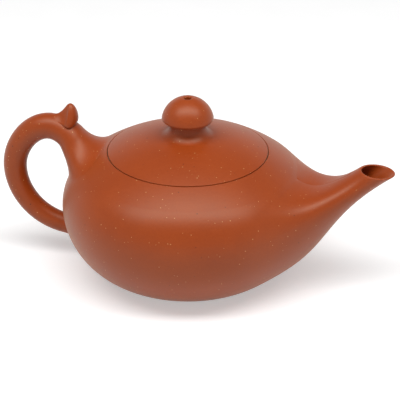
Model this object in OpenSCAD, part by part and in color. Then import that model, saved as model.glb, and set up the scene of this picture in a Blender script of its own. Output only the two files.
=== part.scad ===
// Teapot of unglazed clay with a flush lift-off lid, a short bent spout and a loop handle.
// Millimetres. The table is z = 0, the axis of the body is Z and the spout points along +X.

/* [Body] */
// Greatest radius of the belly
belly_r = 51.5; // [49:0.5:55]
// Height of the widest circle above the table
belly_z = 30; // [28:0.5:33]
// Radius of the edge that the pot stands on
foot_r = 28.3; // [26:0.1:31]
// Width of the flat ring that touches the table
foot_w = 4.3; // [3:0.1:6]
// Height of the bottom slab above the table
foot_recess = 1.2; // [0.6:0.1:2]
// Thickness of the bottom slab
base_t = 2.8; // [2:0.1:4]
// Thickness of the clay wall
wall = 3; // [2.5:0.1:3.6]
// Radius of the round from the belly up to the shoulder
shoulder_arc_r = 21; // [19:0.5:23]
// Height from the belly to the top of the dome that shoulder and lid share
crown_h = 31; // [29:0.5:34]

/* [Lid and mouth] */
// Radius of the lid
lid_r = 32.5; // [30:0.5:34.5]
// Gap between the rim of the lid and the shoulder
seam_gap = 0.3; // [0.2:0.05:0.5]
// Width of the ledge under the rim of the lid
seat_w = 4; // [3:0.5:5]
// Width of the ring under the shoulder
ring_w = 8; // [7:0.5:9]
// Depth of that ring below the ledge
ring_t = 3.4; // [3:0.1:5]
// Thickness of the lid's dome
lid_t = 3; // [2.5:0.1:3.4]
// Depth of the flange under the lid
flange_h = 10; // [6:0.5:14]
// Thickness of the flange
flange_t = 2.6; // [2:0.1:3.4]
// Gap between the flange and the mouth
flange_gap = 0.4; // [0.3:0.05:0.8]

/* [Knob] */
// Radius of the knob's dome
knob_r = 10.7; // [9:0.1:12]
// Rounding of the knob's lower edge
knob_edge = 1.2; // [0.8:0.1:1.8]
// Height of the knob's underside above the top of the dome
neck_h = 5.8; // [5:0.1:8]
// Radius of the stem at its waist
neck_r = 7.3; // [6.5:0.1:7.8]
// Radius of the hollow round from the stem out to the lid
neck_round = 4.5; // [3:0.1:4.8]
// Radius of the vent hole
vent_r = 1.5; // [1:0.1:2]
// Width of the bevel at the top of the vent hole
vent_bevel = 0.6; // [0.3:0.1:1]

/* [Spout] */
// Distance from the belly to the pouring lip
spout_reach = 33.3; // [31:0.1:36]
// Height of the pouring lip above the belly's widest circle
spout_rise = 21.3; // [19:0.1:23]
// Length of the spout's mouth from back to lip
spout_mouth_l = 14.6; // [13.6:0.1:16]
// Width of the spout's mouth
spout_mouth_w = 13.4; // [12.4:0.1:14.6]
// Slope of the mouth down to the lip, in degrees
spout_mouth_slope = 4.2; // [1:0.1:7]
// Thickness of the clay at the lip
spout_lip_t = 1.1; // [0.9:0.1:1.5]
// Slope of the spout at its mouth, in degrees
spout_slope = 36.8; // [34:0.2:40]
// Length along the skin from the belly up to the end of the spout's root
spout_root_up = 18.2; // [17:0.1:19.2]
// Length along the skin from the belly down to the end of the spout's root
spout_root_down = 36; // [33:0.2:37]
// Half of the angle that the root spans round the belly, in degrees
spout_root_side = 56; // [52:1:60]
// Radius of the port in the wall
port_r = 7; // [6.4:0.1:7.4]

/* [Strainer] */
// Thickness of the strainer
strainer_t = 1.6; // [1.2:0.1:2]
// Radius of the strainer's holes
strainer_hole_r = 0.9; // [0.7:0.1:1]
// Holes in the strainer's outer ring
strainer_holes = 8; // [6:1:9]

/* [Handle] */
// Distance from the belly to the outer side of the loop
handle_reach = 27.1; // [24:0.1:30]
// Height of the loop's outermost point above the belly's widest circle
handle_side_rise = 8.8; // [6:0.2:12]
// Height of the top of the loop above the belly's widest circle
handle_top_rise = 33.7; // [32:0.1:36]
// Distance from the belly to the top of the loop
handle_top_out = 6.5; // [5.5:0.1:8]
// Radius of the handle at its lower end
handle_low_r = 4.2; // [3.6:0.1:4.6]
// Radius of the handle at the top of the loop
handle_up_r = 5.4; // [4.8:0.1:5.8]
// Half of the width of the handle's neck above the shoulder
handle_neck_w = 7.5; // [6.6:0.1:8.4]
// Length along the skin from the belly down to the lower end of the handle
handle_low_l = 18.2; // [16:0.2:20]
// Length along the skin from the belly up to the middle of the upper end
handle_up_l = 19.3; // [18.3:0.1:20.3]
// Length along the skin from that middle down to the edge of the upper end
handle_up_down = 10.5; // [8.5:0.1:12.5]
// Distance along the skin from the upper end of the handle to the lid's seam
handle_lid_gap = 1.7; // [1:0.1:2.4]

/* [Thumb rest] */
// Height of the tip above the handle
bud_h = 7.2; // [6:0.1:8.4]
// Length of the foot from the tip towards the shoulder
bud_in = 2.4; // [2:0.1:3]
// Length of the foot from the tip away from the shoulder
bud_out = 6.6; // [5.6:0.1:7.4]

/* [Clearance] */
// Thickness of the slip between two joined pieces
slip = 0.2; // [0.18:0.01:0.3]

/* [Hidden] */
$fn = 96;
clay = [0.63, 0.31, 0.17];
clay_dark = [0.55, 0.26, 0.14];
far = 200;

// Arcs of the body: below the belly, up to the shoulder, and the dome
foot_in = belly_r - foot_r;
lower_arc_r = (foot_in * foot_in + belly_z * belly_z) / (2 * foot_in);
lower_c = belly_r - lower_arc_r;
shoulder_c = belly_r - shoulder_arc_r;
crown_r = (belly_r * belly_r - 2 * belly_r * shoulder_arc_r + crown_h * crown_h)
    / (2 * (crown_h - shoulder_arc_r));
crown_top = belly_z + crown_h;
crown_z = crown_top - crown_r;
blend_a = atan2(belly_z - crown_z, shoulder_c);
foot_inner_r = foot_r - foot_w;
floor_z = foot_recess + base_t;

// Mouth and lid
opening_r = lid_r + seam_gap;
seat_z = crown_z + sqrt(pow(crown_r - wall, 2) - pow(opening_r, 2));
mouth_r = lid_r - seat_w;
ring_r = mouth_r + ring_w;
flange_r = mouth_r - flange_gap;
flange_inner_r = flange_r - flange_t;

// Knob
knob_z = crown_top + neck_h;
knob_edge_a = 12;
knob_c = knob_z + knob_edge - (knob_r - knob_edge) * sin(knob_edge_a);
knob_edge_r = (knob_r - knob_edge) * cos(knob_edge_a);
knob_edge_z = knob_z + knob_edge;
neck_round_r = neck_r + neck_round;
neck_round_z = crown_z + sqrt(pow(crown_r + neck_round, 2) - pow(neck_round_r, 2));
neck_foot_share = 0.55;
neck_foot_r = neck_r + neck_foot_share * neck_round;
knob_top = knob_c + knob_r;

// Spout
spout_n = 40;
spout_steps = 18;
bore_steps = 12;
patch_steps = 12;
mouth_dir = [cos(spout_mouth_slope), 0, -sin(spout_mouth_slope)];
spout_dir = [cos(spout_slope), 0, sin(spout_slope)];
lip = [belly_r + spout_reach, 0, belly_z + spout_rise];
mouth_c = lip - mouth_dir * spout_mouth_l / 2;
root_edge_t = 0.4;
near_edge = 0.98;
root_mid = 16.6;
root_pull = 21.1;
root_pull_tilt = 6.3;
root_pull_round = 5.1;
root_lift = 2.5;
mouth_pull = 31.9;
mouth_pull_tilt = 7.5;
bore_pull = 9;
bore_pull_end = 17;
bore_slope = 18;
bore_turn = 32;
lip_round = 0.3 * spout_lip_t;

// Strainer
strainer_inner_holes = 6;
strainer_inner_a = 30;
strainer_outer_a = 60;

// Handle
handle_n = 24;
tube_steps = 40;
flare_steps = 8;
cap_steps = 6;
side_r = (handle_low_r + handle_up_r) / 2;
handle_side = [-(belly_r + handle_reach - side_r), belly_z + handle_side_rise];
handle_top = [-(belly_r + handle_top_out), belly_z + handle_top_rise - handle_up_r];
handle_low_slope = 10.6;
handle_low_out = 7;
handle_up_out = 8.9;
handle_neck_h = 5.8;
low_pull = 12.8;
side_pull_low = 11.5;
side_pull_up = 9.3;
top_pull_out = 8.3;
top_pull_in = 2.5;
up_pull = 4.1;
low_span = 6.8;
low_span_th = 6.4;
low_flare_pull = 1.5;
low_flare_end = 2;
up_span_th = 26;
up_flare_share = 0.55;
up_flare_end = 4;
path_step = 0.01;

// Thumb rest: its place along the handle, its reach round it, and the pulls that round it
bud_s = 2.55;
bud_seg = 13;
bud_n = 24;
bud_steps = 14;
bud_wrap = 42;
bud_lean = 1.3;
bud_blend = 2;
bud_pull = 3.2;
bud_pull_tilt = 2;
bud_drop = 1;
bud_tip_pull = 2.5;
bud_tip_tilt = 0.5;

// Outer skin of the body. th is the heading round the axis, a the slope of the skin's normal,
// l the length along the skin up from the widest circle, and up the height above the skin.
deg = 180 / PI;
blend_l = shoulder_arc_r * blend_a / deg;
function arc_r(a) = a < 0 ? lower_arc_r : (a < blend_a ? shoulder_arc_r : crown_r);
function arc_c(a) = a < 0 ? [lower_c, belly_z] : (a < blend_a ? [shoulder_c, belly_z] : [0, crown_z]);
function skin_rz(a, up) = arc_c(a) + (arc_r(a) + up) * [cos(a), sin(a)];
function slope_of(l) = l < 0 ? l / lower_arc_r * deg
    : l < blend_l ? l / shoulder_arc_r * deg : blend_a + (l - blend_l) / crown_r * deg;
function skin(th, l, up) = let (p = skin_rz(slope_of(l), up)) [p[0] * cos(th), p[0] * sin(th), p[1]];

// Length along the skin to a height near the belly, and the skin's point at a given y and z
function length_at(z) = let (r = z < belly_z ? lower_arc_r : shoulder_arc_r)
    r * asin((z - belly_z) / r) / deg;
function skin_at(y, z, up) = let (r = skin_rz(slope_of(length_at(z)), up)[0]) [sqrt(r * r - y * y), y, z];

// Edge of a root at the cosine c of its angle: it reaches up at 1 and down at -1
function oval(c, up, down) = c * ((up + down) / 2 + c * (up - down) / 2);

// Curve through p0 and p3, drawn by p1 and p2
function curve(p0, p1, p2, p3, u) = let (v = 1 - u)
    v * v * v * p0 + 3 * v * v * u * p1 + 3 * v * u * u * p2 + u * u * u * p3;
function unit(v) = v / norm(v);

// Triangles between rings of n points: a closed loop of m rings, or m rings with a cap at both ends
// Both halves of a ring are split alike, so the two sides of the pot mirror each other.
function band(i, k, n) = [for (j = [0 : n - 1], f = [0, 1])
    let (q = (j + 1) % n, a = i * n + j, b = i * n + q, c = k * n + q, d = k * n + j)
    j < n / 2 ? (f == 0 ? [a, b, d] : [b, c, d]) : (f == 0 ? [a, b, c] : [a, c, d])];
function loop_faces(m, n) = [for (i = [0 : m - 1]) each band(i, (i + 1) % m, n)];
function capped_faces(m, n) = concat(
    [for (i = [0 : m - 2]) each band(i, i + 1, n)],
    [for (j = [0 : n - 1]) [m * n, (j + 1) % n, j]],
    [for (j = [0 : n - 1]) [m * n + 1, (m - 1) * n + j, (m - 1) * n + (j + 1) % n]]);
function flat(rings) = [for (r = rings) each r];

// Spout: t runs round the spout from the top, k from the middle of the root to its edge
function root_th(t, k) = k * spout_root_side * sin(t);
function root_l(t, k) = root_mid + k * (oval(cos(t), spout_root_up, spout_root_down) - root_mid);
function root_pt(t, k, up) = skin(root_th(t, k), root_l(t, k), up);
function root_in(t) = unit(root_pt(t, near_edge, root_edge_t) - root_pt(t, 1, root_edge_t));
function root_out(t) = root_pt(t, 1, 1) - root_pt(t, 1, 0);
function root_leave(t) = root_in(t) * root_pull_at(t) + root_out(t) * root_lift * pow(sin(t), 2);
function mouth_pt(t, inset) = mouth_c - mouth_dir * (spout_mouth_l / 2 - inset) * cos(t)
    + [0, (spout_mouth_w / 2 - inset) * sin(t), 0];
function root_pull_at(t) = root_pull - root_pull_tilt * cos(t) + root_pull_round * cos(2 * t);
function mouth_pull_at(t) = mouth_pull - mouth_pull_tilt * cos(t);
function spout_skin(t, u) = let (p0 = root_pt(t, 1, root_edge_t), p3 = mouth_pt(t, 0))
    curve(p0, p0 + root_leave(t), p3 - spout_dir * mouth_pull_at(t), p3, u);
function port_pt(t) = skin_at(port_r * sin(t), belly_z + port_r * cos(t), slip);
function bore_dir(t) = let (a = bore_slope - bore_turn * cos(t)) [cos(a), 0, sin(a)];
function spout_bore(t, u) = let (p0 = port_pt(t), p3 = mouth_pt(t, spout_lip_t))
    curve(p0, p0 + bore_pull * bore_dir(t), p3 - bore_pull_end * spout_dir, p3, u);
function patch_pt(t, s) = let (p = port_pt(t), th = atan2(p[1], p[0]), l = length_at(p[2]))
    skin(th + s * (root_th(t, 1) - th), l + s * (root_l(t, 1) - l), slip);
spout_t = [for (j = [0 : spout_n - 1]) 360 * j / spout_n];
spout_rings = concat(
    [for (i = [0 : spout_steps]) [for (t = spout_t) spout_skin(t, i / spout_steps)]],
    [[for (t = spout_t) mouth_pt(t, spout_lip_t / 2) + spout_dir * lip_round]],
    [for (i = [0 : bore_steps]) [for (t = spout_t) spout_bore(t, 1 - i / bore_steps)]],
    [for (i = [1 : patch_steps]) [for (t = spout_t) patch_pt(t, i / patch_steps)]]);

// Handle: three curves in the plane y = 0, from the lower end round the loop to the upper end.
// t runs round the handle from the inner side of the loop.
low_dir = [-cos(handle_low_slope), sin(handle_low_slope)];
handle_up_slope = slope_of(handle_up_l);
up_dir = [cos(handle_up_slope), -sin(handle_up_slope)];
low_root = skin_rz(slope_of(-handle_low_l), 0);
up_end = skin_rz(handle_up_slope, handle_up_out);
handle_low = [-low_root[0], low_root[1]] + handle_low_out * low_dir;
handle_up = [-up_end[0], up_end[1]];
function low_path(s) = curve(handle_low, handle_low + low_pull * low_dir,
    handle_side - [0, side_pull_low], handle_side, s);
function side_path(s) = curve(handle_side, handle_side + [0, side_pull_up],
    handle_top - [top_pull_out, 0], handle_top, s);
function top_path(s) = curve(handle_top, handle_top + [top_pull_in, 0],
    handle_up - up_pull * up_dir, handle_up, s);
function path_pt(s) = s < 1 ? low_path(s) : s < 2 ? side_path(s - 1) : top_path(s - 2);
function path_dir(s) = s <= 0 ? low_dir : s >= 3 ? up_dir
    : unit(path_pt(s + path_step) - path_pt(s - path_step));
function tube_r(s) = handle_low_r + (handle_up_r - handle_low_r) * min(1, s / 2);
function horn(s) = pow(max(0, s - 2), 2);
function tube_pt(s, t, up) = let (c = path_pt(s), d = path_dir(s), r = tube_r(s) + up,
    side = (r + (handle_neck_h - handle_up_r) * horn(s)) * cos(t),
    across = (r + (handle_neck_w - handle_up_r) * horn(s)) * sin(t))
    [c[0] + side * d[1], -across, c[1] - side * d[0]];
function along(d, length) = length * [d[0], 0, d[1]];
opening_l = blend_l + crown_r * (acos(opening_r / crown_r) - blend_a) / deg;
handle_up_up = opening_l - handle_lid_gap - handle_up_l;
function low_foot(t, k, up) = skin(180 + k * low_span_th * sin(t), -handle_low_l + k * low_span * cos(t), up);
function up_foot(t, k, up) = skin(180 + k * up_span_th * sin(t),
    handle_up_l + k * oval(-cos(t), handle_up_up, handle_up_down), up);
function up_in(t) = unit(up_foot(t, near_edge, root_edge_t) - up_foot(t, 1, root_edge_t));
function low_flare(t, u) = let (p0 = low_foot(t, 1, root_edge_t), p3 = tube_pt(0, t, 0))
    curve(p0, p0 + along(low_dir, low_flare_pull), p3 - along(low_dir, low_flare_end), p3, u);
function from_neck(p) = norm(cross(p - along(handle_up, 1), along(up_dir, 1)));
function up_flare(t, u) = let (p0 = up_foot(t, 1, root_edge_t), p3 = tube_pt(3, t, 0),
    onward = unit(p3 - tube_pt(3 - path_step, t, 0)),
    pull = up_flare_share * (from_neck(p0) - from_neck(p3)))
    curve(p0, p0 + pull * up_in(t), p3 + up_flare_end * onward, p3, u);
handle_t = [for (j = [0 : handle_n - 1]) 360 * j / handle_n];
handle_rings = concat(
    [for (i = [1 : cap_steps]) [for (t = handle_t) low_foot(t, i / cap_steps, slip)]],
    [for (i = [0 : flare_steps - 1]) [for (t = handle_t) low_flare(t, i / flare_steps)]],
    [for (i = [0 : tube_steps]) [for (t = handle_t) tube_pt(3 * i / tube_steps, t, 0)]],
    [for (i = [1 : flare_steps]) [for (t = handle_t) up_flare(t, 1 - i / flare_steps)]],
    [for (i = [0 : cap_steps - 1]) [for (t = handle_t) up_foot(t, 1 - i / cap_steps, slip)]]);
handle_caps = [low_foot(0, 0, slip), up_foot(0, 0, slip)];

// Thumb rest: u runs round its foot on the handle, from the side of the shoulder
bud_tip = tube_pt(bud_s, 180, 0) + [bud_lean, 0, bud_h];
function bud_along(u, k) = bud_s + k * oval(cos(u), bud_in, bud_out) / bud_seg;
function bud_foot(u, k, up) = tube_pt(bud_along(u, k), 180 - k * bud_wrap * sin(u), up);
function bud_blend_at(u) = pow((1 - cos(u)) / 2, bud_blend);
function bud_leave(u) = let (f = bud_blend_at(u),
    outward = unit(bud_foot(u, 1, 1) - bud_foot(u, 1, 0)) - [0, 0, bud_drop],
    inward = unit(bud_foot(u, near_edge, root_edge_t) - bud_foot(u, 1, root_edge_t)))
    unit((1 - f) * outward + f * inward);
function bud_skin(u, v) = let (p0 = bud_foot(u, 1, root_edge_t),
    pull = bud_pull + bud_pull_tilt * bud_blend_at(u),
    reach = bud_tip_pull + bud_tip_tilt * cos(u))
    curve(p0, p0 + pull * bud_leave(u), bud_tip + reach * [cos(u), -sin(u), 0], bud_tip, v);
bud_u = [for (j = [0 : bud_n - 1]) 360 * j / bud_n];
bud_rings = concat(
    [for (i = [1 : cap_steps]) [for (u = bud_u) bud_foot(u, i / cap_steps, slip)]],
    [for (i = [0 : bud_steps - 1]) [for (u = bud_u) bud_skin(u, i / bud_steps)]]);
bud_caps = [bud_foot(0, 0, slip), bud_tip];

// Ring of rectangular section round the axis
module ring(r_in, r_out, z_low, z_high) {
    translate([0, 0, z_low]) difference() {
        cylinder(r = r_out, h = z_high - z_low);
        translate([0, 0, -1]) cylinder(r = r_in, h = z_high - z_low + 2);
    }
}

// Half-plane right of the axis between two heights
module slab(r_in, r_out, z_low, z_high) {
    translate([r_in, z_low]) square([r_out - r_in, z_high - z_low]);
}

module base_disc() {
    color(clay) translate([0, 0, foot_recess]) cylinder(r = foot_inner_r - slip, h = base_t);
}

module body_wall() {
    color(clay) difference() {
        rotate_extrude() {
            difference() {
                intersection() {
                    translate([lower_c, belly_z]) circle(lower_arc_r);
                    slab(foot_inner_r, belly_r + 1, 0, belly_z);
                }
                intersection() {
                    translate([lower_c, belly_z]) circle(lower_arc_r - wall);
                    slab(0, belly_r, floor_z, belly_z + 1);
                }
            }
            intersection() {
                translate([shoulder_c, belly_z]) difference() {
                    circle(shoulder_arc_r);
                    circle(shoulder_arc_r - wall);
                }
                translate([shoulder_c, belly_z])
                    polygon([[0, 0], [far, 0], far * [cos(blend_a), sin(blend_a)]]);
            }
        }
        translate([0, 0, belly_z]) rotate([0, 90, 0]) cylinder(r = port_r, h = far);
    }
}

module shoulder_plate() {
    color(clay) rotate_extrude() intersection() {
        translate([0, crown_z]) difference() {
            circle(crown_r);
            circle(crown_r - wall);
        }
        slab(opening_r, far, 0, far);
        translate([0, crown_z])
            polygon([[0, 0], far * [cos(blend_a), sin(blend_a)], [far * cos(blend_a), far], [0, far]]);
    }
}

module mouth_ring() {
    color(clay) rotate_extrude() intersection() {
        translate([0, crown_z]) circle(crown_r - wall - slip);
        slab(mouth_r, ring_r, seat_z - ring_t, seat_z);
    }
}

module spout() {
    color(clay) polyhedron(points = flat(spout_rings), faces = loop_faces(len(spout_rings), spout_n));
}

module strainer() {
    dome_r = port_r - slip;
    dome_x = belly_r - wall;
    color(clay_dark) translate([dome_x, 0, belly_z]) rotate([0, -90, 0]) difference() {
        union() {
            rotate_extrude() intersection() {
                difference() {
                    circle(dome_r);
                    circle(dome_r - strainer_t);
                }
                slab(0, dome_r, 0, dome_r);
            }
            ring(dome_r - strainer_t, dome_r, -strainer_t, 0);
        }
        strainer_row(1, 0);
        strainer_row(strainer_inner_holes, strainer_inner_a);
        strainer_row(strainer_holes, strainer_outer_a);
    }
}

// Holes of the strainer: a row round its axis, at one slope
module strainer_row(holes, slope) {
    for (i = [0 : holes - 1]) rotate([0, slope, 360 * i / holes])
        cylinder(r = strainer_hole_r, h = far, $fn = 32);
}

module handle() {
    color(clay) polyhedron(points = concat(flat(handle_rings), handle_caps),
        faces = capped_faces(len(handle_rings), handle_n));
}

module thumb_rest() {
    color(clay) polyhedron(points = concat(flat(bud_rings), bud_caps),
        faces = capped_faces(len(bud_rings), bud_n));
}

module lid_plate() {
    color(clay) rotate_extrude() difference() {
        intersection() {
            translate([0, crown_z]) circle(crown_r);
            slab(vent_r, lid_r, seat_z, far);
        }
        intersection() {
            translate([0, crown_z]) circle(crown_r - lid_t);
            slab(0, flange_inner_r, 0, far);
        }
    }
}

module lid_flange() {
    color(clay) ring(flange_inner_r, flange_r, seat_z - flange_h, seat_z);
}

module knob_neck() {
    color(clay) rotate_extrude() difference() {
        slab(vent_r, neck_foot_r, crown_z, knob_z);
        translate([0, crown_z]) circle(crown_r + slip);
        translate([neck_round_r, neck_round_z]) circle(neck_round);
        slab(neck_r, neck_foot_r + 1, neck_round_z, knob_z + 1);
    }
}

module knob() {
    color(clay) rotate_extrude() difference() {
        intersection() {
            union() {
                intersection() {
                    translate([0, knob_c]) circle(knob_r);
                    translate([0, knob_c])
                        polygon([[0, 0], far * [cos(knob_edge_a), sin(knob_edge_a)], [0, far]]);
                }
                translate([knob_edge_r, knob_edge_z]) circle(knob_edge);
                polygon([[0, knob_z], [knob_edge_r, knob_z], [knob_edge_r, knob_edge_z]]);
            }
            slab(vent_r, far, knob_z, far);
        }
        translate([0, knob_top])
            polygon([[0, -vent_r - vent_bevel], [vent_r + vent_bevel + 1, 1], [0, 1]]);
    }
}

base_disc();
body_wall();
shoulder_plate();
mouth_ring();
spout();
strainer();
handle();
thumb_rest();
lid_plate();
lid_flange();
knob_neck();
knob();
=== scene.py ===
import math

import bpy
import numpy as np
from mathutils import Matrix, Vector

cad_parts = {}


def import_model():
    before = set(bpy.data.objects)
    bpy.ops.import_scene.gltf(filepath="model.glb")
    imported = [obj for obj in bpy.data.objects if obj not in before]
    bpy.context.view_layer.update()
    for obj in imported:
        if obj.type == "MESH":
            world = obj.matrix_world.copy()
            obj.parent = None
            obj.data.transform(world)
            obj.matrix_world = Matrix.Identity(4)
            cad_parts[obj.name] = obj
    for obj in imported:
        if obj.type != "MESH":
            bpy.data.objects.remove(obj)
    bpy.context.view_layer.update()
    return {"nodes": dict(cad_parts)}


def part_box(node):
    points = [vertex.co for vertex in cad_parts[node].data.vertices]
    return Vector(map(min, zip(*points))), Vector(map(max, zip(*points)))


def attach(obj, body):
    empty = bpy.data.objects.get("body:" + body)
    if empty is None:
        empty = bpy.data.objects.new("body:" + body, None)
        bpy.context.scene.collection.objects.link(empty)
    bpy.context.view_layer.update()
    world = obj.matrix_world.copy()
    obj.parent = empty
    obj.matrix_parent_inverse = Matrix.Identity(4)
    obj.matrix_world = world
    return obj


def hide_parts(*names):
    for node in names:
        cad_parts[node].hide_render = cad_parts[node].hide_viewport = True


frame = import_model()

# Sizes are in millimetres and slopes in degrees, as in the part's source. The scene is in metres.
MM = 0.001


def half_width(node, axis):
    """How far a node reaches from the origin along an axis, in millimetres."""
    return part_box(node)[1][axis] / MM


# Body: arcs below the belly and up to the shoulder, and the dome that shoulder and lid share
BELLY_R = half_width("body_wall", 1)
BELLY_Z = 30.0
FOOT_R = 28.3
WALL = 3.0
SHOULDER_ARC_R = 21.0
CROWN_H = 31.0
FOOT_IN = BELLY_R - FOOT_R
LOWER_ARC_R = (FOOT_IN ** 2 + BELLY_Z ** 2) / (2 * FOOT_IN)
LOWER_C = BELLY_R - LOWER_ARC_R
SHOULDER_C = BELLY_R - SHOULDER_ARC_R
CROWN_R = (SHOULDER_C ** 2 - SHOULDER_ARC_R ** 2 + CROWN_H ** 2) / (2 * (CROWN_H - SHOULDER_ARC_R))
CROWN_TOP = BELLY_Z + CROWN_H
CROWN_Z = CROWN_TOP - CROWN_R
BLEND_A = math.degrees(math.atan2(BELLY_Z - CROWN_Z, SHOULDER_C))
BLEND_L = SHOULDER_ARC_R * math.radians(BLEND_A)

# Lid and mouth
LID_R = half_width("lid_plate", 0)
LID_T = 3.0
SEAM_GAP = 0.3
SEAT_W = 4.0
FLANGE_GAP = 0.4
FLANGE_T = 2.6
RIM_ROUND = 0.15
OPENING_R = LID_R + SEAM_GAP
FLANGE_INNER_R = LID_R - SEAT_W - FLANGE_GAP - FLANGE_T
SEAT_Z = CROWN_Z + math.sqrt((CROWN_R - WALL) ** 2 - OPENING_R ** 2)

# Knob
KNOB_R = 10.7
KNOB_EDGE = 1.2
KNOB_EDGE_A = 12.0
NECK_H = 5.8
NECK_R = 7.3
NECK_ROUND = 4.5
VENT_R = 1.5
VENT_ROUND = 0.6
KNOB_Z = CROWN_TOP + NECK_H
KNOB_EDGE_Z = KNOB_Z + KNOB_EDGE
KNOB_EDGE_R = (KNOB_R - KNOB_EDGE) * math.cos(math.radians(KNOB_EDGE_A))
KNOB_C = KNOB_EDGE_Z - (KNOB_R - KNOB_EDGE) * math.sin(math.radians(KNOB_EDGE_A))
NECK_ROUND_R = NECK_R + NECK_ROUND
NECK_ROUND_Z = CROWN_Z + math.sqrt((CROWN_R + NECK_ROUND) ** 2 - NECK_ROUND_R ** 2)

# Spout: its lip as seen from the belly's widest circle, its slope there, its mouth and its port
SPOUT_REACH = 33.3
SPOUT_RISE = 21.3
SPOUT_SLOPE = 36.8
MOUTH_L = 14.6
MOUTH_W = 13.4
MOUTH_SLOPE = 4.2
LIP_T = 1.1
LIP_ROUND = 0.4
PORT_R = 7.0

# The spout's root: lengths along the skin to its upper end, lower end and middle, and half of the angle
# that it spans round the belly
ROOT_UP, ROOT_DOWN, ROOT_MID = 18.2, 36.0, 16.6
ROOT_SIDE = 56.0

# Pulls of the spout's curves: their mean, what top and bottom differ by, and what the flanks differ by.
# Between root and mouth the flanks are also lifted.
ROOT_PULL, ROOT_PULL_TILT, ROOT_PULL_ROUND = 21.1, 6.3, 5.1
MOUTH_PULL, MOUTH_PULL_TILT = 31.9, 7.5
ROOT_LIFT = 1.4

# The spout's bore: its pulls at the port and at the mouth, and its slope where it leaves the port
BORE_PULL, BORE_PULL_END = 9.0, 17.0
BORE_SLOPE, BORE_TURN = 18.0, 32.0

# Handle: the outermost point and the top of its loop, its half thickness, and that of its neck
HANDLE_REACH = 27.1
HANDLE_SIDE_RISE = 8.8
HANDLE_TOP_RISE = 33.7
HANDLE_TOP_OUT = 6.5
HANDLE_LOW_R = 4.2
HANDLE_UP_R = 5.4
HANDLE_NECK_H = 5.8
HANDLE_NECK_W = 7.5

# The handle's ends: lengths along the skin to their middles, how far out the loop starts, and its slope
LOW_L, LOW_OUT, LOW_SLOPE = 18.2, 7.0, 10.6
UP_L, UP_OUT = 19.3, 8.9

# The handle's feet: reach along the skin, half of the angle that each spans, and the gap to the lid's seam
LOW_SPAN, LOW_SPAN_TH = 6.8, 6.4
UP_DOWN, UP_SPAN_TH = 10.5, 26.0
HANDLE_LID_GAP = 1.7

# Pulls of the handle's curves, from the lower end round the loop to the upper end, and of its two flares
LOW_PULL, SIDE_PULL_LOW, SIDE_PULL_UP = 12.8, 11.5, 9.3
TOP_PULL_OUT, TOP_PULL_IN, UP_PULL = 8.3, 2.5, 4.1
LOW_FLARE_PULL, LOW_FLARE_END = 1.5, 2.0
UP_FLARE_SHARE, UP_FLARE_END = 0.55, 4.0

# Places on the handle's path, and the step that its direction is taken from
PATH_SIDE, PATH_TOP, PATH_END = 1, 2, 3
PATH_STEP = 0.01

# Thumb rest: its place on the handle's path, the length of the path's last part, its foot and its tip
BUD_S = 2.55
BUD_SEG = 13.0
BUD_IN, BUD_OUT = 2.4, 6.6
BUD_WRAP = 42.0
BUD_H = 7.2
BUD_LEAN = 1.3

# How the thumb rest blends into the handle, and the pulls at its foot and its tip
BUD_BLEND = 2.0
BUD_DROP = 1.0
BUD_PULL, BUD_PULL_TILT = 3.2, 2.0
BUD_TIP_PULL, BUD_TIP_TILT = 2.5, 0.5

# Height of a blended edge above what it runs out on, and the share of a root's reach just inside its edge
FEATHER = 0.02
NEAR_EDGE = 0.98

# Fineness of the meshes: points round and along the pieces; an arc has a step in degrees and a least count
TURN_POINTS = 257
LINE_POINTS = 3
ARC_STEP, ARC_POINTS = 1.5, 4
BEND_STEPS = 6
SPOUT_ROUND, SPOUT_ALONG = 160, 73
BORE_ALONG, LIP_ALONG, SEAT_ALONG = 41, 13, 25
HANDLE_ROUND, HANDLE_ALONG = 96, 181
FLARE_ALONG, CAP_ALONG = 25, 9
BUD_ROUND, BUD_ALONG = 96, 49

# Points that agree to this many decimals are welded, and a row of points narrower than this is one point
WELD_DIGITS = 5
POINT_SIZE = 0.02

# Small helpers for points: every function takes and gives arrays with the coordinates last
X, Y, Z = np.eye(3)


def cosd(a):
    return np.cos(np.radians(a))


def sind(a):
    return np.sin(np.radians(a))


def unit(v):
    return v / np.linalg.norm(v, axis=-1, keepdims=True)


def stack(*coords):
    return np.stack(np.broadcast_arrays(*coords), -1)


def angles(count):
    """Even angles round a piece, as a row."""
    return np.linspace(0, 360, count, endpoint=False)[None]


def steps(count, end=1):
    """Even steps from 0 to an end, as a column."""
    return np.linspace(0, end, count)[:, None]


def curve(p0, p1, p2, p3, u):
    """Point of a cubic curve."""
    v = 1 - u
    return v ** 3 * p0 + 3 * v * v * u * p1 + 3 * v * u * u * p2 + u ** 3 * p3


def skin_rz(a, up):
    """Radius and height of the body's skin where its normal slopes by a, raised by up."""
    low, high = a < 0, a >= BLEND_A
    r = np.where(low, LOWER_ARC_R, np.where(high, CROWN_R, SHOULDER_ARC_R)) + up
    c_r = np.where(low, LOWER_C, np.where(high, 0, SHOULDER_C))
    c_z = np.where(high, CROWN_Z, BELLY_Z)
    return c_r + r * cosd(a), c_z + r * sind(a)


def slope_at(length):
    """Slope of the skin's normal at a length along the skin, up from the widest circle."""
    dome_a = math.radians(BLEND_A) + (length - BLEND_L) / CROWN_R
    up = np.where(length < BLEND_L, length / SHOULDER_ARC_R, dome_a)
    return np.degrees(np.where(length < 0, length / LOWER_ARC_R, up))


def skin(th, length, up):
    """Point of the body's skin at heading th and a length up from the widest circle, raised by up."""
    r, z = skin_rz(slope_at(length), up)
    return stack(r * cosd(th), r * sind(th), z)


def oval(c, up, down):
    """Edge of a root at the cosine c of its angle: it reaches up at 1 and down at -1."""
    return c * ((up + down) / 2 + c * (up - down) / 2)


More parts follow.
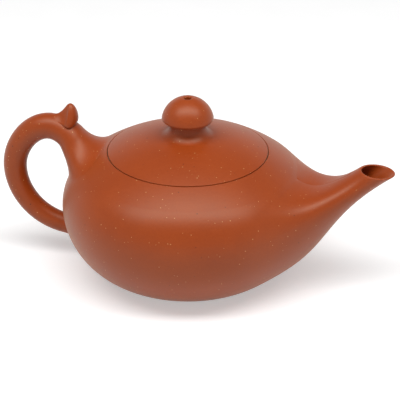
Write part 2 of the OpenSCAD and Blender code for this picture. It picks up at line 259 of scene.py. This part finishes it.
# Meshes: a piece is a list of patches, grids of points with a normal at each point
def grid_normals(points):
    """Normals of a grid of points, rows by columns, whose columns run once round.

    A first or last row that is drawn together to one point takes the mean of its neighbour's normals.
    """
    along = np.gradient(points, axis=0)
    across = np.roll(points, -1, 1) - np.roll(points, 1, 1)
    normals = np.cross(across, along)
    for end, inner in ((0, 1), (-1, -2)):
        if np.ptp(points[end], axis=0).max() < POINT_SIZE:
            normals[end] = normals[inner].mean(0)
    return unit(normals)


def patch(points, normals=None):
    """A patch that runs once round, with its normals worked out where they aren't given."""
    if normals is None:
        normals = grid_normals(points)
    return tuple(np.concatenate([grid, grid[:, :1]], 1) for grid in (points, normals))


def cap(foot, t, k):
    """The hidden end of a piece, on what it stands on; foot gives its points."""
    return patch(foot(t, k, FEATHER), unit(foot(t, k, 0) - foot(t, k, 1)))


def make_piece(name, patches, body, node, material):
    """One mesh from patches whose common edges are welded, riding on a body in place of a node."""
    points, normals, quads, start = [], [], [], 0
    for p, n in patches:
        rows, cols = p.shape[:2]
        index = start + np.arange(rows * cols).reshape(rows, cols)
        corners = index[:-1, :-1], index[:-1, 1:], index[1:, 1:], index[1:, :-1]
        quads.append(np.stack(corners, -1).reshape(-1, 4))
        points.append(p.reshape(-1, 3))
        normals.append(n.reshape(-1, 3))
        start += rows * cols
    points, normals, quads = map(np.concatenate, (points, normals, quads))
    places = np.round(points, WELD_DIGITS)
    _, first, welded = np.unique(places, axis=0, return_index=True, return_inverse=True)
    welded = welded.reshape(-1)
    faces, loop_normals = [], []
    for quad in quads:
        ring = [k for i, k in enumerate(quad) if welded[k] != welded[quad[i - 1]]]
        if len(ring) > 2:
            faces.append([int(welded[k]) for k in ring])
            loop_normals.extend(normals[ring].tolist())
    mesh = bpy.data.meshes.new(name)
    mesh.from_pydata((points[first] * MM).tolist(), [], faces)
    mesh.polygons.foreach_set("use_smooth", [True] * len(faces))
    mesh.normals_split_custom_set(loop_normals)
    mesh.materials.append(material)
    piece = bpy.data.objects.new(name, mesh)
    bpy.context.scene.collection.objects.link(piece)
    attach(piece, body)
    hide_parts(node)


# Outlines of turned pieces: stretches of points in radius and height, run with the clay on the left
def line(p, q):
    return np.linspace(p, q, LINE_POINTS)


def arc(c_r, c_z, r, a0, a1):
    """An arc about a centre, from one slope to another."""
    a = np.linspace(a0, a1, max(ARC_POINTS, int(abs(a1 - a0) / ARC_STEP) + 2))
    return np.stack([c_r + r * cosd(a), c_z + r * sind(a)], -1)


def dome(r, r0, r1):
    """An arc of a sphere about the dome's centre, from one distance from the axis to another."""
    a0, a1 = (math.degrees(math.acos(x / r)) for x in (r0, r1))
    return arc(0, CROWN_Z, r, a0, a1)


def trimmed(points, start, end):
    """A stretch cut short by a length at its start and end."""
    s = np.concatenate([[0], np.cumsum(np.linalg.norm(np.diff(points, axis=0), axis=1))])
    inner = s[(s > start) & (s < s[-1] - end)]
    s_new = np.concatenate([[start], inner, [s[-1] - end]])
    return np.stack([np.interp(s_new, s, points[:, i]) for i in (0, 1)], -1)


def rounded(stretches, rounds):
    """Closed outline of stretches; rounds gives the rounding of each corner after its stretch."""
    count = len(stretches)
    cuts, corners = [], []
    for i, r in enumerate(rounds):
        d0 = unit(stretches[i][-1] - stretches[i][-2])
        following = stretches[(i + 1) % count]
        d1 = unit(following[1] - following[0])
        turn = math.atan2(d0[0] * d1[1] - d0[1] * d1[0], d0 @ d1)
        cuts.append(r * math.tan(abs(turn) / 2))
        corners.append((d0, turn, r))
    straights = [trimmed(points, cuts[i - 1], cuts[i]) for i, points in enumerate(stretches)]
    out = []
    for i, straight in enumerate(straights):
        out.append(straight)
        d0, turn, r = corners[i]
        if r > 0:
            side = math.copysign(1, turn)
            left = np.array([-d0[1], d0[0]])
            centre = straight[-1] + side * r * left
            a = math.atan2(d0[1], d0[0]) + np.linspace(0, turn, BEND_STEPS + 1)
            bend = centre + side * r * np.stack([np.sin(a), -np.cos(a)], -1)
            bend[-1] = straights[(i + 1) % count][0]
            out.append(bend)
    return out


def turned(stretches):
    """Patches of an outline turned round the axis."""
    th = np.linspace(0, 360, TURN_POINTS)
    patches = []
    for points in stretches:
        d = np.gradient(points, axis=0)
        n = unit(np.stack([d[:, 1], -d[:, 0]], -1))
        p = stack(points[:, :1] * cosd(th), points[:, :1] * sind(th), points[:, 1:])
        normals = stack(n[:, :1] * cosd(th), n[:, :1] * sind(th), n[:, 1:])
        patches.append((p, normals))
    return patches


# The spout's mouth
MOUTH_DIR = np.array([cosd(MOUTH_SLOPE), 0, -sind(MOUTH_SLOPE)])
SPOUT_DIR = np.array([cosd(SPOUT_SLOPE), 0, sind(SPOUT_SLOPE)])
LIP = (BELLY_R + SPOUT_REACH) * X + (BELLY_Z + SPOUT_RISE) * Z
MOUTH_C = LIP - MOUTH_DIR * MOUTH_L / 2


class Nodes:
    """Short calls for building the node tree of a material or world."""

    def __init__(self, owner):
        self.owner = owner
        owner.use_nodes = True
        self.tree = owner.node_tree
        self.tree.nodes.clear()

    def add(self, kind, inputs=None, **settings):
        """A node; an input is a value or the output of another node."""
        node = self.tree.nodes.new(kind)
        for key, value in settings.items():
            setattr(node, key, value)
        for key, value in (inputs or {}).items():
            if isinstance(value, bpy.types.NodeSocket):
                self.tree.links.new(value, node.inputs[key])
            else:
                node.inputs[key].default_value = value
        return node

    def output(self, kind, shader):
        """Ends the tree with a shader and gives back what the tree belongs to."""
        self.add(kind, {0: shader.outputs[0]})
        return self.owner

    def math(self, operation, a, b):
        return self.add("ShaderNodeMath", {0: a, 1: b}, operation=operation).outputs[0]

    def vector_math(self, operation, a, b):
        return self.add("ShaderNodeVectorMath", {0: a, 1: b}, operation=operation).outputs

    def dot(self, a, b):
        return self.vector_math("DOT_PRODUCT", a, b)["Value"]

    def fit(self, value, low, high, to_low, to_high):
        """A value's range mapped to another range, and held there."""
        node = self.add("ShaderNodeMapRange", {
            "Value": value, "From Min": low, "From Max": high, "To Min": to_low, "To Max": to_high})
        return node.outputs[0]

    def mix(self, factor, a, b):
        """Two colours mixed."""
        return self.add("ShaderNodeMix", {0: factor, 6: a, 7: b}, data_type="RGBA").outputs[2]

    def place(self, kind="Object"):
        return self.add("ShaderNodeTexCoord").outputs[kind]

    def noise(self, vector, scale, detail=4.0, roughness=0.55):
        return self.add("ShaderNodeTexNoise", {
            "Vector": vector, "Scale": scale, "Detail": detail, "Roughness": roughness}).outputs[0]

    def specks(self, vector, scale, share, size):
        """Round grains: a share of the cells of a pattern holds one grain of up to a size."""
        node = self.add("ShaderNodeTexVoronoi", {"Vector": vector, "Scale": scale, "Randomness": 1.0})
        chance = self.add("ShaderNodeSeparateColor", {0: node.outputs["Color"]}).outputs
        reach = self.math("MULTIPLY", chance[1], size * scale)
        inside = self.math("LESS_THAN", node.outputs["Distance"], reach)
        return self.math("MULTIPLY", inside, self.math("LESS_THAN", chance[0], share))

    def seen(self):
        """1 where a thing is looked at, straight or by way of gloss or glass, and 0 where it only lights."""
        rays = self.add("ShaderNodeLightPath").outputs
        mirrored = self.math("MAXIMUM", rays["Is Glossy Ray"], rays["Is Transmission Ray"])
        return self.math("MAXIMUM", rays["Is Camera Ray"], mirrored)


def shaded(colour, shares):
    """A colour with each channel changed by a share, and full alpha."""
    return (*(c * s for c, s in zip(colour, shares)), 1)


# Painted shade in the spout, a darker colour standing in for the shade where little light reaches into the
# bore:
# its distance in from the skin, the share of its squared radius over which it fades, the depths over which
# it starts and ends, how much of it shows, and its colour against the clay's
SPOUT_SHADE_INSET = 0.9
SPOUT_SHADE_FADE = (0.85, 1.0)
SPOUT_SHADE_TOP = (-8.0, -2.5)
SPOUT_SHADE_END = (-18.0, -13.0)
SPOUT_SHADE_STRENGTH = 0.95
SPOUT_SHADE_COLOUR = (0.1, 0.1, 0.1)


def painted_spout_shade(nodes, mm):
    """How far painted shade darkens a place: the inside of the spout, from under its rim down, where little
    light reaches.
    """
    from_mouth = nodes.vector_math("SUBTRACT", mm, MOUTH_C)[0]
    beside, above = np.cross(SPOUT_DIR, Y), np.cross(MOUTH_DIR, Y)
    beside /= (MOUTH_DIR @ beside) * (MOUTH_L / 2 - SPOUT_SHADE_INSET)
    above /= SPOUT_DIR @ above
    out = nodes.math("POWER", nodes.dot(from_mouth, beside), 2.0)
    across = nodes.math("POWER", nodes.dot(from_mouth, Y / (MOUTH_W / 2 - SPOUT_SHADE_INSET)), 2.0)
    inside = nodes.fit(nodes.math("ADD", out, across), *SPOUT_SHADE_FADE, 1.0, 0.0)
    depth = nodes.dot(from_mouth, above)
    below_top = nodes.fit(depth, *SPOUT_SHADE_TOP, 1.0, 0.0)
    above_end = nodes.fit(depth, *SPOUT_SHADE_END, 0.0, 1.0)
    return nodes.math("MULTIPLY", inside, nodes.math("MULTIPLY", below_top, above_end))


# Mottling and grain of the clay: scale, detail and roughness of the noise, the values that count, and the
# tones that they add up to, between a darker and a lighter clay
CLOUD_NOISE = (0.045, 3.0)
CLOUD_RANGE = (0.3, 0.7)
CLOUD_TONE = (0.1, 0.6)
GRAIN_NOISE = (1.1, 6.0, 0.7)
GRAIN_RANGE = (0.25, 0.75)
GRAIN_TONE = (-0.1, 0.5)
DARKER = (0.88, 0.82, 0.78)
LIGHTER = (1.10, 1.16, 1.20)

# Sand in the clay: cells per millimetre, the share of them with a grain, the largest grain, and the colour
PALE_SAND = (0.7, 0.5, 0.22)
PALE_SAND_COLOUR = (0.62, 0.3, 0.12, 1)
DARK_SAND = (0.3, 0.5, 0.3)
DARK_SAND_COLOUR = (0.12, 0.02, 0.006, 1)
DARK_SAND_SHIFT = (37.0, 11.0, 23.0)

# Surface of the clay: how strong and high the grain stands out, and how far it changes the roughness
BUMP_STRENGTH = 0.35
BUMP_HEIGHT = 0.05
ROUGH_DOWN, ROUGH_UP = 0.05, 0.06


def clay_material(name, base, rough):
    """Fired unglazed clay: soft mottling, a fine grain, scattered sand and painted shade inside the spout.
    """
    nodes = Nodes(bpy.data.materials.new(name))
    mm = nodes.add("ShaderNodeVectorMath", {0: nodes.place(), 3: 1 / MM}, operation="SCALE").outputs[0]
    cloud = nodes.noise(mm, *CLOUD_NOISE)
    grain = nodes.noise(mm, *GRAIN_NOISE)
    cloud_tone = nodes.fit(cloud, *CLOUD_RANGE, *CLOUD_TONE)
    grain_tone = nodes.fit(grain, *GRAIN_RANGE, *GRAIN_TONE)
    tone = nodes.math("ADD", cloud_tone, grain_tone)
    colour = nodes.mix(tone, shaded(base, DARKER), shaded(base, LIGHTER))
    colour = nodes.mix(nodes.specks(mm, *PALE_SAND), colour, PALE_SAND_COLOUR)
    shifted = nodes.vector_math("ADD", mm, DARK_SAND_SHIFT)[0]
    colour = nodes.mix(nodes.specks(shifted, *DARK_SAND), colour, DARK_SAND_COLOUR)
    # Painted shade: the inside of the spout is darkened in the colour itself, standing in for the shade in
    # the bore
    painted_shade = nodes.math("MULTIPLY", painted_spout_shade(nodes, mm), SPOUT_SHADE_STRENGTH)
    colour = nodes.mix(painted_shade, colour, shaded(base, SPOUT_SHADE_COLOUR))
    bump = nodes.add("ShaderNodeBump", {
        "Strength": BUMP_STRENGTH, "Distance": BUMP_HEIGHT * MM, "Height": grain})
    shader = nodes.add("ShaderNodeBsdfPrincipled", {
        "Base Color": colour,
        "Roughness": nodes.fit(grain, *GRAIN_RANGE, rough - ROUGH_DOWN, rough + ROUGH_UP),
        "IOR": 1.47,
        "Specular Tint": (1.0, 0.96, 0.78, 1),
        "Sheen Weight": 0.16,
        "Sheen Roughness": 0.4,
        "Sheen Tint": (1.0, 0.94, 0.6, 1),
        "Normal": bump.outputs[0]})
    return nodes.output("ShaderNodeOutputMaterial", shader)


CLAY = clay_material("clay_skin", base=(0.345, 0.049, 0.004), rough=0.41)
CLAY_INSIDE = clay_material("clay_bare", base=(0.28, 0.044, 0.005), rough=0.6)

# Nodes whose solids are right keep their shape and take the clay
for node_name in ("base_disc", "body_wall", "mouth_ring", "lid_flange"):
    frame["nodes"][node_name].material_slots[0].material = CLAY
frame["nodes"]["strainer"].material_slots[0].material = CLAY_INSIDE


# Turned pieces
def lid_plate():
    """The lid's dome, with a softened rim."""
    under = dome(CROWN_R - LID_T, VENT_R, FLANGE_INNER_R)
    top = dome(CROWN_R, LID_R, VENT_R)
    stretches = [
        under,
        line(under[-1], (FLANGE_INNER_R, SEAT_Z)),
        line((FLANGE_INNER_R, SEAT_Z), (LID_R, SEAT_Z)),
        line((LID_R, SEAT_Z), top[0]),
        top,
        line(top[-1], under[0]),
    ]
    return turned(rounded(stretches, [0, 0, RIM_ROUND, RIM_ROUND, 0, 0]))


def shoulder_plate():
    """The ring of the dome round the lid, with a softened edge at the opening."""
    edge_r = CROWN_R * cosd(BLEND_A)
    inner_r = (CROWN_R - WALL) * cosd(BLEND_A)
    top = dome(CROWN_R, edge_r, OPENING_R)
    under = dome(CROWN_R - WALL, OPENING_R, inner_r)
    stretches = [top, line(top[-1], under[0]), under, line(under[-1], top[0])]
    return turned(rounded(stretches, [RIM_ROUND, 0, 0, 0]))


def knob_neck():
    """The stem, whose hollow round runs out on the lid."""
    touch_r = NECK_ROUND_R * CROWN_R / (CROWN_R + NECK_ROUND)
    touch_a = math.degrees(math.atan2(CROWN_Z - NECK_ROUND_Z, -NECK_ROUND_R)) % 360
    foot = dome(CROWN_R + FEATHER, VENT_R, touch_r)
    hollow = arc(NECK_ROUND_R, NECK_ROUND_Z, NECK_ROUND - FEATHER, touch_a, 180)
    waist = (hollow[-1][0], KNOB_Z)
    foot[-1] = hollow[0]
    return turned([
        foot,
        hollow,
        line(hollow[-1], waist),
        line(waist, (VENT_R, KNOB_Z)),
        line((VENT_R, KNOB_Z), foot[0]),
    ])


def knob():
    """The knob's dome on its rounded edge, with the vent hole."""
    edge = arc(KNOB_EDGE_R, KNOB_EDGE_Z, KNOB_EDGE, -90, KNOB_EDGE_A)
    vent_a = math.degrees(math.acos(VENT_R / KNOB_R))
    top = arc(0, KNOB_C, KNOB_R, KNOB_EDGE_A, vent_a)
    stretches = [
        line((VENT_R, KNOB_Z), edge[0]),
        edge,
        top,
        line(top[-1], (VENT_R, KNOB_Z)),
    ]
    return turned(rounded(stretches, [0, 0, VENT_ROUND, 0]))


# Spout: t runs round the spout from the top, k from the middle of the root to its edge, u from root to mouth
def root_pt(t, k, up):
    edge = oval(cosd(t), ROOT_UP, ROOT_DOWN)
    return skin(k * ROOT_SIDE * sind(t), ROOT_MID + k * (edge - ROOT_MID), up)


def mouth_pt(t, inset):
    back = (MOUTH_L / 2 - inset) * cosd(t)
    across = (MOUTH_W / 2 - inset) * sind(t)
    return MOUTH_C - back[..., None] * MOUTH_DIR + across[..., None] * Y


def spout_skin(t, u):
    """Outside of the spout; the lift of its flanks dies out at root and mouth."""
    p0 = root_pt(t, 1, FEATHER)
    p3 = mouth_pt(t, 0) - LIP_ROUND * SPOUT_DIR
    inward = unit(root_pt(t, NEAR_EDGE, FEATHER) - p0)
    outward = root_pt(t, 1, 1) - root_pt(t, 1, 0)
    pull = ROOT_PULL - ROOT_PULL_TILT * cosd(t) + ROOT_PULL_ROUND * cosd(2 * t)
    pull_end = MOUTH_PULL - MOUTH_PULL_TILT * cosd(t)
    lift = ROOT_LIFT * sind(t)[..., None] ** 2 * (4 * u * (1 - u)) ** 2
    bare = curve(p0, p0 + inward * pull[..., None], p3 - SPOUT_DIR * pull_end[..., None], p3, u)
    return bare + lift * outward


def port_pt(t, up):
    y, z = PORT_R * sind(t), BELLY_Z + PORT_R * cosd(t)
    a = np.degrees(np.arcsin((z - BELLY_Z) / np.where(z < BELLY_Z, LOWER_ARC_R, SHOULDER_ARC_R)))
    r = skin_rz(a, up)[0]
    return stack(np.sqrt(r * r - y * y), y, z)


def spout_bore(t, u):
    p0 = port_pt(t, FEATHER)
    p3 = mouth_pt(t, LIP_T) - LIP_ROUND * SPOUT_DIR
    slope = BORE_SLOPE - BORE_TURN * cosd(t)
    leave = stack(cosd(slope), 0, sind(slope))
    return curve(p0, p0 + BORE_PULL * leave, p3 - BORE_PULL_END * SPOUT_DIR, p3, u)


def spout_seat(t, k):
    """The hidden side of the root, along the belly: k runs from the port out to the root's edge."""
    port = port_pt(t, FEATHER)
    th = np.degrees(np.arctan2(port[..., 1], port[..., 0]))
    r = np.where(port[..., 2] < BELLY_Z, LOWER_ARC_R, SHOULDER_ARC_R)
    length = r * np.arcsin((port[..., 2] - BELLY_Z) / r)
    edge = oval(cosd(t), ROOT_UP, ROOT_DOWN)
    return skin(th + k * (ROOT_SIDE * sind(t) - th), length + k * (edge - length), FEATHER)


def spout_lip(t, w):
    """The rounded rim: w runs from 0 at the outer skin over the top to 1 at the bore."""
    a = np.where(w < 0.5, 180 * w, 180 * (1 - w))
    inset = LIP_ROUND * (1 - cosd(a))
    inset = np.where(w < 0.5, inset, LIP_T - inset)
    return mouth_pt(t, inset) - (LIP_ROUND * (1 - sind(a)))[..., None] * SPOUT_DIR


def spout():
    """Skin, rim, bore and the hidden seat on the belly."""
    t = angles(SPOUT_ROUND)
    outside = spout_skin(t, steps(SPOUT_ALONG)[..., None])
    rim = spout_lip(t, steps(LIP_ALONG))
    inside = spout_bore(t, steps(BORE_ALONG)[::-1, :, None])
    seat = spout_seat(t, steps(SEAT_ALONG))
    seat[0], seat[-1] = inside[-1], outside[0]
    return [patch(outside), patch(rim), patch(inside), patch(seat)]


# Handle: three curves in the plane y = 0, from the lower end round the loop to the upper end.
# s runs along them, and t round the handle from the inner side of the loop.
LOW_DIR = np.array([-cosd(LOW_SLOPE), 0, sind(LOW_SLOPE)])
UP_SLOPE = slope_at(UP_L)
UP_DIR = np.array([cosd(UP_SLOPE), 0, -sind(UP_SLOPE)])
HANDLE_LOW = skin(180.0, np.array(-LOW_L), 0) + LOW_OUT * LOW_DIR
HANDLE_UP = skin(180.0, np.array(UP_L), UP_OUT)
OPENING_A = math.degrees(math.acos(OPENING_R / CROWN_R))
OPENING_L = BLEND_L + CROWN_R * math.radians(OPENING_A - BLEND_A)
UP_UP = OPENING_L - HANDLE_LID_GAP - UP_L
SIDE_R = (HANDLE_LOW_R + HANDLE_UP_R) / 2
HANDLE_SIDE = -(BELLY_R + HANDLE_REACH - SIDE_R) * X + (BELLY_Z + HANDLE_SIDE_RISE) * Z
HANDLE_TOP = -(BELLY_R + HANDLE_TOP_OUT) * X + (BELLY_Z + HANDLE_TOP_RISE - HANDLE_UP_R) * Z


def path_pt(s):
    s = np.asarray(s, float)[..., None]
    low_end, up_start = HANDLE_LOW + LOW_PULL * LOW_DIR, HANDLE_UP - UP_PULL * UP_DIR
    side_low, side_up = HANDLE_SIDE - SIDE_PULL_LOW * Z, HANDLE_SIDE + SIDE_PULL_UP * Z
    top_out, top_in = HANDLE_TOP - TOP_PULL_OUT * X, HANDLE_TOP + TOP_PULL_IN * X
    low = curve(HANDLE_LOW, low_end, side_low, HANDLE_SIDE, s)
    side = curve(HANDLE_SIDE, side_up, top_out, HANDLE_TOP, s - PATH_SIDE)
    top = curve(HANDLE_TOP, top_in, up_start, HANDLE_UP, s - PATH_TOP)
    return np.where(s < PATH_SIDE, low, np.where(s < PATH_TOP, side, top))


def path_dir(s):
    s = np.asarray(s, float)
    d = unit(path_pt(s + PATH_STEP) - path_pt(s - PATH_STEP))
    s = s[..., None]
    return np.where(s <= 0, LOW_DIR, np.where(s >= PATH_END, UP_DIR, d))


def tube_pt(s, t, up):
    """Point of the handle's skin; towards its upper end it widens like a horn."""
    c, d = path_pt(s), path_dir(s)
    r = HANDLE_LOW_R + (HANDLE_UP_R - HANDLE_LOW_R) * np.minimum(1, s / PATH_TOP) + up
    horn = np.maximum(0, s - PATH_TOP) ** 2
    side = (r + (HANDLE_NECK_H - HANDLE_UP_R) * horn) * cosd(t)
    across = (r + (HANDLE_NECK_W - HANDLE_UP_R) * horn) * sind(t)
    return stack(c[..., 0] + side * d[..., 2], -across, c[..., 2] - side * d[..., 0])


def low_foot(t, k, up):
    return skin(180 + k * LOW_SPAN_TH * sind(t), -LOW_L + k * LOW_SPAN * cosd(t), up)


def up_foot(t, k, up):
    return skin(180 + k * UP_SPAN_TH * sind(t), UP_L + k * oval(-cosd(t), UP_UP, UP_DOWN), up)


def low_flare(t, u):
    p0, p3 = low_foot(t, 1, FEATHER), tube_pt(np.zeros_like(t), t, 0)
    return curve(p0, p0 + LOW_FLARE_PULL * LOW_DIR, p3 - LOW_FLARE_END * LOW_DIR, p3, u)


def from_neck(p):
    """Distance of points from the line that the upper end of the handle points along."""
    return np.linalg.norm(np.cross(p - HANDLE_UP, UP_DIR), axis=-1, keepdims=True)


def up_flare(t, u):
    end = np.full_like(t, PATH_END)
    p0, p3 = up_foot(t, 1, FEATHER), tube_pt(end, t, 0)
    inward = unit(up_foot(t, NEAR_EDGE, FEATHER) - p0)
    onward = unit(p3 - tube_pt(end - PATH_STEP, t, 0))
    pull = UP_FLARE_SHARE * (from_neck(p0) - from_neck(p3))
    return curve(p0, p0 + pull * inward, p3 + UP_FLARE_END * onward, p3, u)


def handle():
    """The loop between its two flares, and the hidden ends on the body."""
    t = angles(HANDLE_ROUND)
    u = steps(FLARE_ALONG)[..., None]
    k = steps(CAP_ALONG)
    loop = tube_pt(steps(HANDLE_ALONG, PATH_END), t, 0)
    outside = np.concatenate([low_flare(t, u)[:-1], loop, up_flare(t, u)[-2::-1]])
    return [cap(low_foot, t, k), patch(outside), cap(up_foot, t, k[::-1])]


# Thumb rest: u runs round its foot on the handle, from the side of the shoulder, and v from foot to tip
BUD_TIP = tube_pt(np.array(BUD_S), np.array(180.0), 0) + BUD_LEAN * X + BUD_H * Z


def bud_foot(u, k, up):
    along = oval(cosd(u), BUD_IN, BUD_OUT) / BUD_SEG
    return tube_pt(BUD_S + k * along, 180 - k * BUD_WRAP * sind(u), up)


def bud_skin(u, v):
    """Outside of the thumb rest: steep towards the shoulder, run out on the handle on the other side."""
    p0 = bud_foot(u, 1, FEATHER)
    outward = unit(bud_foot(u, 1, 1) - bud_foot(u, 1, 0)) - BUD_DROP * Z
    inward = unit(bud_foot(u, NEAR_EDGE, FEATHER) - p0)
    blended = (((1 - cosd(u)) / 2) ** BUD_BLEND)[..., None]
    leave = unit((1 - blended) * outward + blended * inward)
    pull = BUD_PULL + BUD_PULL_TILT * blended
    reach = (BUD_TIP_PULL + BUD_TIP_TILT * cosd(u))[..., None]
    top = BUD_TIP + 0 * p0
    return curve(p0, p0 + pull * leave, top + reach * stack(cosd(u), -sind(u), 0), top, v)


def thumb_rest():
    """The bud and its hidden foot on the handle."""
    u = angles(BUD_ROUND)
    return [cap(bud_foot, u, steps(CAP_ALONG)), patch(bud_skin(u, steps(BUD_ALONG)[..., None]))]


make_piece("lid_plate_dressed", lid_plate(), "lid", "lid_plate", CLAY)
make_piece("knob_neck_dressed", knob_neck(), "lid", "knob_neck", CLAY)
make_piece("knob_dressed", knob(), "lid", "knob", CLAY)
make_piece("shoulder_plate_dressed", shoulder_plate(), "pot", "shoulder_plate", CLAY)
make_piece("spout_dressed", spout(), "pot", "spout", CLAY)
make_piece("handle_dressed", handle(), "pot", "handle", CLAY)
make_piece("thumb_rest_dressed", thumb_rest(), "pot", "thumb_rest", CLAY)

# The pot stands turned in the photograph, with its spout towards the camera
VIEW_TURN = 13.0


def in_view(right, away, high):
    """A place given as the camera sees it, in metres, in the frame of the part."""
    c, s = cosd(VIEW_TURN), sind(VIEW_TURN)
    return Vector((right * c - away * s, right * s + away * c, high))


# Floor: a pale sheet that looks white where the light falls on it and keeps the pot's shadow
WHITE = (1, 1, 1, 1)
FLOOR_HALF = 3.0
FLOOR_GLOW = 0.42
FLOOR_SCALE = 40.0
FLOOR_RANGE = (0.3, 0.7)
FLOOR_TONE = (0.78, 0.8)


def floor_material():
    nodes = Nodes(bpy.data.materials.new("floor_white"))
    tone = nodes.fit(nodes.noise(nodes.place(), FLOOR_SCALE), *FLOOR_RANGE, *FLOOR_TONE)
    colour = nodes.add("ShaderNodeCombineColor", {0: tone, 1: tone, 2: tone}).outputs[0]
    matt = nodes.add("ShaderNodeBsdfDiffuse", {"Color": colour})
    strength = nodes.math("MULTIPLY", nodes.seen(), FLOOR_GLOW)
    glow = nodes.add("ShaderNodeEmission", {"Color": WHITE, "Strength": strength})
    both = nodes.add("ShaderNodeAddShader", {0: matt.outputs[0], 1: glow.outputs[0]})
    return nodes.output("ShaderNodeOutputMaterial", both)


def floor():
    mesh = bpy.data.meshes.new("floor")
    h = FLOOR_HALF
    mesh.from_pydata([(-h, -h, 0), (h, -h, 0), (h, h, 0), (-h, h, 0)], [], [(0, 1, 2, 3)])
    mesh.materials.append(floor_material())
    sheet = bpy.data.objects.new("floor", mesh)
    bpy.context.scene.collection.objects.link(sheet)


# Sine of the heights where the white sweep ends and the ceiling begins, the ceiling's light, and the fill's
SWEEP_EDGE = (0.15, 0.6)
CEILING = 0.2
FILL_FRONT = 0.25
FILL_BACK = 0.12


def world():
    """What is seen is a white sweep under a dim ceiling; the fill light comes mostly from the front."""
    nodes = Nodes(bpy.data.worlds.new("studio"))
    toward = nodes.add("ShaderNodeSeparateXYZ", {0: nodes.place("Generated")}).outputs
    brightness = nodes.fit(toward["Z"], *SWEEP_EDGE, 1.0, CEILING)
    sweep = nodes.add("ShaderNodeBackground", {"Color": WHITE, "Strength": brightness})
    front = nodes.fit(toward["Y"], -1, 1, FILL_FRONT, FILL_BACK)
    fill = nodes.add("ShaderNodeBackground", {"Color": WHITE, "Strength": front})
    both = nodes.add("ShaderNodeMixShader", {0: nodes.seen(), 1: fill.outputs[0], 2: sweep.outputs[0]})
    bpy.context.scene.world = nodes.output("ShaderNodeOutputWorld", both)


# Light: a wide lamp overhead, its place and aim in metres
LAMP_PLACE = (0, -0.2, 0.72)
LAMP_AIM = (0, 0, 0.03)
LAMP_SIZE = (1.3, 0.3)
LAMP_POWER = 6.9

# Camera: fitted to the photographed outline, in metres
CAMERA_ELEVATION = 27.2
CAMERA_DISTANCE = 0.8
CAMERA_AIM = (0.00495, 0.0002, 0.0304)
CAMERA_LENS = 175.0
CAMERA_SENSOR = 36.0


def place_in_scene(thing, place, aim):
    """An object for a lamp or camera at a place, turned to look at its aim."""
    holder = bpy.data.objects.new(thing.name, thing)
    holder.location = place
    holder.rotation_euler = (aim - place).to_track_quat("-Z", "Y").to_euler()
    bpy.context.scene.collection.objects.link(holder)
    return holder


def overhead_light():
    light = bpy.data.lights.new("overhead", "AREA")
    light.shape = "RECTANGLE"
    light.size, light.size_y = LAMP_SIZE
    light.energy = LAMP_POWER
    place_in_scene(light, in_view(*LAMP_PLACE), in_view(*LAMP_AIM))


def photo_camera():
    camera = bpy.data.cameras.new("camera")
    camera.lens = CAMERA_LENS
    camera.sensor_width = CAMERA_SENSOR
    back, rise = CAMERA_DISTANCE * cosd(CAMERA_ELEVATION), CAMERA_DISTANCE * sind(CAMERA_ELEVATION)
    eye = in_view(0, -back, BELLY_Z * MM + rise)
    bpy.context.scene.camera = place_in_scene(camera, eye, in_view(*CAMERA_AIM))


floor()
world()
overhead_light()
photo_camera()
bpy.context.scene.view_settings.view_transform = "Standard"

bpy.context.view_layer.update()
